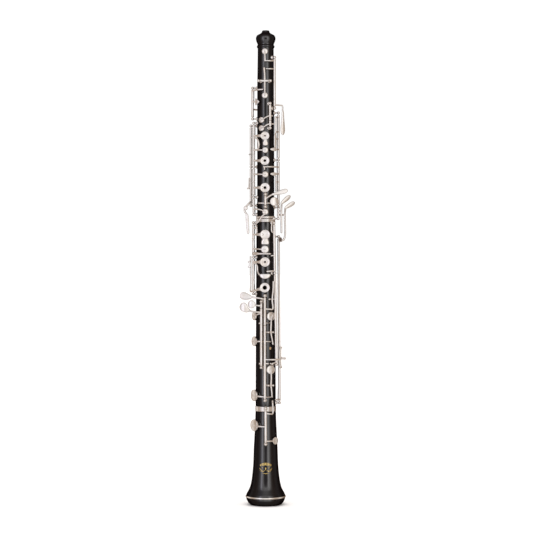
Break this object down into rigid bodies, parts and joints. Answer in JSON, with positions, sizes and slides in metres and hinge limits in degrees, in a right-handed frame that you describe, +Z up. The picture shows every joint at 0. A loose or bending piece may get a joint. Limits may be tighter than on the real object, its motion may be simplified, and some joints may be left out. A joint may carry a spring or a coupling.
{
  "type": "oboe",
  "caption": "Double-reed woodwind in three dark turned joints, with full silver-plated conservatory keywork on posts and rods, cork tenons and metal rings",
  "frame": {"origin": "on the bore axis at the bell's bottom face, which is also the bottom centre of the bounding box to within 3 mm", "axes": "+Z up the bore to the reed well, -Y towards the fingers (the key side), +X to the left-hand trill and little-finger side"},
  "size_m": [0.0701, 0.0528, 0.595],
  "materials": {
    "dark_wood": "turned and polished, near black",
    "silver_plate": "polished silver plate",
    "steel_rod": "bright turned posts and rods",
    "cork": "sanded cork band",
    "brass_liner": "drawn tube, slightly dulled"
  },
  "bodies": {
    "bell": {"bell_axle": "steel_rod", "bell_body": "dark_wood", "bell_socket_ring": "silver_plate", "bell_rim_ring": "silver_plate"},
    "lower_joint": {"lower_stack_axle": "steel_rod", "right_stack_axle": "steel_rod", "low_b_flat_axle": "steel_rod", "e_flat_cup_axle": "steel_rod", "c_sharp_cup_axle": "steel_rod", "low_c_axle": "steel_rod", "low_b_axle": "steel_rod", "lower_joint_body": "dark_wood", "lower_socket_ring": "silver_plate", "lower_tenon_cork": "cork", "thumb_rest": "silver_plate"},
    "upper_joint": {"side_octave_axle": "steel_rod", "octave_lever_axle": "steel_rod", "thumb_octave_axle": "steel_rod", "trill_axle": "steel_rod", "left_hand_trill_axle": "steel_rod", "upper_stack_axle": "steel_rod", "right_trill_axle": "steel_rod", "g_sharp_touch_axle": "steel_rod", "left_little_finger_axle": "steel_rod", "upper_joint_body": "dark_wood", "upper_tenon_ring": "silver_plate", "upper_tenon_cork": "cork", "reed_well_liner": "brass_liner"},
    "side_octave_key": {"side_octave_key": "silver_plate"},
    "octave_lever": {"octave_lever": "silver_plate"},
    "thumb_octave_key": {"thumb_octave_key": "silver_plate"},
    "upper_trill_key": {"upper_trill_key": "silver_plate"},
    "lower_trill_key": {"lower_trill_key": "silver_plate"},
    "left_trill_key": {"left_trill_key": "silver_plate"},
    "a_flat_trill_key": {"a_flat_trill_key": "silver_plate"},
    "half_hole_key": {"half_hole_key": "silver_plate"},
    "b_ring_key": {"b_ring_key": "silver_plate"},
    "c_vent_key": {"c_vent_key": "silver_plate"},
    "a_ring_key": {"a_ring_key": "silver_plate"},
    "g_sharp_key": {"g_sharp_key": "silver_plate"},
    "right_trill_lever": {"right_trill_lever": "silver_plate"},
    "b_flat_trill_lever": {"b_flat_trill_lever": "silver_plate"},
    "g_sharp_touch": {"g_sharp_touch": "silver_plate"},
    "left_e_flat_touch": {"left_e_flat_touch": "silver_plate"},
    "left_b_touch": {"left_b_touch": "silver_plate"},
    "left_b_flat_touch": {"left_b_flat_touch": "silver_plate"},
    "f_sharp_plate_key": {"f_sharp_plate_key": "silver_plate"},
    "f_vent_key": {"f_vent_key": "silver_plate"},
    "e_plate_key": {"e_plate_key": "silver_plate"},
    "d_ring_key": {"d_ring_key": "silver_plate"},
    "bridge_lever": {"bridge_lever": "silver_plate"},
    "left_e_flat_link": {"left_e_flat_link": "silver_plate"},
    "low_b_flat_rod_key": {"low_b_flat_rod_key": "silver_plate"},
    "e_flat_cup_lever": {"e_flat_cup_lever": "silver_plate"},
    "c_sharp_cup_lever": {"c_sharp_cup_lever": "silver_plate"},
    "c_sharp_touch": {"c_sharp_touch": "silver_plate"},
    "low_c_key": {"low_c_key": "silver_plate"},
    "e_flat_touch": {"e_flat_touch": "silver_plate"},
    "low_b_key": {"low_b_key": "silver_plate"},
    "bell_key": {"bell_key": "silver_plate"}
  },
  "joints": [
    {"name": "lower_joint_draw", "type": "slide", "parent": "bell", "child": "lower_joint", "axis": [0, 0, 1], "range_m": [0, 0.022]},
    {"name": "upper_joint_draw", "type": "slide", "parent": "lower_joint", "child": "upper_joint", "axis": [0, 0, 1], "range_m": [0, 0.022]},
    {"name": "side_octave_key_turn", "type": "hinge", "parent": "upper_joint", "child": "side_octave_key", "pos_m": [0.01114, -0.0096, 0.52851], "axis": [0, 0, 1], "range_deg": [0, 10]},
    {"name": "octave_lever_turn", "type": "hinge", "parent": "upper_joint", "child": "octave_lever", "pos_m": [-0.00157, -0.0139, 0.53049], "axis": [1, 0, 0], "range_deg": [-9.6, 0]},
    {"name": "thumb_octave_key_turn", "type": "hinge", "parent": "upper_joint", "child": "thumb_octave_key", "pos_m": [-0.01646, -0.0012, 0.50331], "axis": [0, 0, 1], "range_deg": [-8, 0]},
    {"name": "upper_trill_key_turn", "type": "hinge", "parent": "upper_joint", "child": "upper_trill_key", "pos_m": [0.0055, -0.0139, 0.49038], "axis": [0, 0, 1], "range_deg": [0, 10]},
    {"name": "lower_trill_key_turn", "type": "hinge", "parent": "upper_joint", "child": "lower_trill_key", "pos_m": [0.0055, -0.0139, 0.47719], "axis": [0, 0, 1], "range_deg": [0, 10]},
    {"name": "left_trill_key_turn", "type": "hinge", "parent": "upper_joint", "child": "left_trill_key", "pos_m": [0.01594, -0.004, 0.46163], "axis": [0, 0, 1], "range_deg": [-8, 0]},
    {"name": "a_flat_trill_key_turn", "type": "hinge", "parent": "upper_joint", "child": "a_flat_trill_key", "pos_m": [0.01594, -0.004, 0.40252], "axis": [0, 0, 1], "range_deg": [-6, 0]},
    {"name": "half_hole_key_turn", "type": "hinge", "parent": "upper_joint", "child": "half_hole_key", "pos_m": [-0.01493, -0.0044, 0.45732], "axis": [0, 0, 1], "range_deg": [0, 6.5]},
    {"name": "b_ring_key_turn", "type": "hinge", "parent": "upper_joint", "child": "b_ring_key", "pos_m": [-0.01493, -0.0044, 0.43003], "axis": [0, 0, 1], "range_deg": [0, 6.5]},
    {"name": "c_vent_key_turn", "type": "hinge", "parent": "upper_joint", "child": "c_vent_key", "pos_m": [-0.01493, -0.0044, 0.41321], "axis": [0, 0, 1], "range_deg": [0, 6.5]},
    {"name": "a_ring_key_turn", "type": "hinge", "parent": "upper_joint", "child": "a_ring_key", "pos_m": [-0.01493, -0.0044, 0.39628], "axis": [0, 0, 1], "range_deg": [0, 6.5]},
    {"name": "g_sharp_key_turn", "type": "hinge", "parent": "upper_joint", "child": "g_sharp_key", "pos_m": [-0.01493, -0.0044, 0.37457], "axis": [0, 0, 1], "range_deg": [-8, 0]},
    {"name": "right_trill_lever_turn", "type": "hinge", "parent": "upper_joint", "child": "right_trill_lever", "pos_m": [-0.01849, 0.0012, 0.39938], "axis": [0, 0, 1], "range_deg": [-7, 0]},
    {"name": "b_flat_trill_lever_turn", "type": "hinge", "parent": "upper_joint", "child": "b_flat_trill_lever", "pos_m": [-0.01849, 0.0012, 0.44964], "axis": [0, 0, 1], "range_deg": [-7, 0]},
    {"name": "g_sharp_touch_turn", "type": "hinge", "parent": "upper_joint", "child": "g_sharp_touch", "pos_m": [-0.00026, -0.015, 0.38092], "axis": [0, 0, 1], "range_deg": [0, 8]},
    {"name": "left_e_flat_touch_turn", "type": "hinge", "parent": "upper_joint", "child": "left_e_flat_touch", "pos_m": [0.01564, -0.0096, 0.372], "axis": [0, 0, 1], "range_deg": [-6, 0]},
    {"name": "left_b_touch_turn", "type": "hinge", "parent": "upper_joint", "child": "left_b_touch", "pos_m": [0.01564, -0.0096, 0.36794], "axis": [0, 0, 1], "range_deg": [0, 6]},
    {"name": "left_b_flat_touch_turn", "type": "hinge", "parent": "upper_joint", "child": "left_b_flat_touch", "pos_m": [0.01564, -0.0096, 0.3633], "axis": [0, 0, 1], "range_deg": [0, 6]},
    {"name": "f_sharp_plate_key_turn", "type": "hinge", "parent": "lower_joint", "child": "f_sharp_plate_key", "pos_m": [-0.01543, -0.005, 0.34175], "axis": [0, 0, 1], "range_deg": [0, 6]},
    {"name": "f_vent_key_turn", "type": "hinge", "parent": "lower_joint", "child": "f_vent_key", "pos_m": [-0.01543, -0.005, 0.32225], "axis": [0, 0, 1], "range_deg": [0, 6]},
    {"name": "e_plate_key_turn", "type": "hinge", "parent": "lower_joint", "child": "e_plate_key", "pos_m": [-0.01543, -0.005, 0.29503], "axis": [0, 0, 1], "range_deg": [0, 6]},
    {"name": "d_ring_key_turn", "type": "hinge", "parent": "lower_joint", "child": "d_ring_key", "pos_m": [-0.01543, -0.005, 0.27414], "axis": [0, 0, 1], "range_deg": [0, 6]},
    {"name": "bridge_lever_turn", "type": "hinge", "parent": "lower_joint", "child": "bridge_lever", "pos_m": [0.0109, -0.01276, 0.3216], "axis": [-0.0169, 0.0113, 0.9998], "range_deg": [-6, 0]},
    {"name": "left_e_flat_link_turn", "type": "hinge", "parent": "lower_joint", "child": "left_e_flat_link", "pos_m": [0.0124, -0.01376, 0.23305], "axis": [-0.0169, 0.0113, 0.9998], "range_deg": [-6, 0]},
    {"name": "low_b_flat_rod_key_turn", "type": "hinge", "parent": "lower_joint", "child": "low_b_flat_rod_key", "pos_m": [0.01668, -0.0046, 0.23192], "axis": [-0.0048, 0, 1], "range_deg": [0, 5]},
    {"name": "e_flat_cup_lever_turn", "type": "hinge", "parent": "lower_joint", "child": "e_flat_cup_lever", "pos_m": [0.00613, -0.01443, 0.21647], "axis": [0.9205, 0.3907, 0], "range_deg": [0, 4.2]},
    {"name": "c_sharp_cup_lever_turn", "type": "hinge", "parent": "lower_joint", "child": "c_sharp_cup_lever", "pos_m": [0.0063, -0.01558, 0.15009], "axis": [0.927, 0.3752, 0], "range_deg": [-4.5, 0]},
    {"name": "c_sharp_touch_turn", "type": "hinge", "parent": "lower_joint", "child": "c_sharp_touch", "pos_m": [-0.00549, -0.0162, 0.24957], "axis": [0, 0, 1], "range_deg": [-7, 0]},
    {"name": "low_c_key_turn", "type": "hinge", "parent": "lower_joint", "child": "low_c_key", "pos_m": [-0.00549, -0.0162, 0.21052], "axis": [0, 0, 1], "range_deg": [-6, 0]},
    {"name": "e_flat_touch_turn", "type": "hinge", "parent": "lower_joint", "child": "e_flat_touch", "pos_m": [-0.001, -0.0186, 0.24241], "axis": [0, 0, 1], "range_deg": [-6, 0]},
    {"name": "low_b_key_turn", "type": "hinge", "parent": "lower_joint", "child": "low_b_key", "pos_m": [-0.001, -0.0186, 0.17947], "axis": [0, 0, 1], "range_deg": [-6, 0]},
    {"name": "bell_key_turn", "type": "hinge", "parent": "bell", "child": "bell_key", "pos_m": [0, -0.0193, 0.09929], "axis": [-0.0054, 0.0045, 1], "range_deg": [-5, 0]}
  ],
  "couplings": [
    {"joint": "octave_lever_turn", "follows": "thumb_octave_key_turn", "ratio": 1.2},
    {"joint": "upper_trill_key_turn", "follows": "left_trill_key_turn", "ratio": -1.25},
    {"joint": "lower_trill_key_turn", "follows": "right_trill_lever_turn", "ratio": -1.4},
    {"joint": "g_sharp_key_turn", "follows": "g_sharp_touch_turn", "ratio": -1},
    {"joint": "e_flat_cup_lever_turn", "follows": "e_flat_touch_turn", "ratio": -0.7},
    {"joint": "low_b_key_turn", "follows": "left_b_touch_turn", "ratio": -1},
    {"joint": "c_sharp_cup_lever_turn", "follows": "left_b_touch_turn", "ratio": -0.75},
    {"joint": "low_b_flat_rod_key_turn", "follows": "left_b_flat_touch_turn", "ratio": 0.83},
    {"joint": "bell_key_turn", "follows": "left_b_flat_touch_turn", "ratio": -0.83},
    {"joint": "left_e_flat_link_turn", "follows": "left_e_flat_touch_turn", "ratio": 1},
    {"joint": "f_vent_key_turn", "follows": "f_sharp_plate_key_turn", "ratio": 1},
    {"joint": "bridge_lever_turn", "follows": "f_sharp_plate_key_turn", "ratio": -1},
    {"joint": "c_vent_key_turn", "follows": "a_ring_key_turn", "ratio": 1}
  ]
}
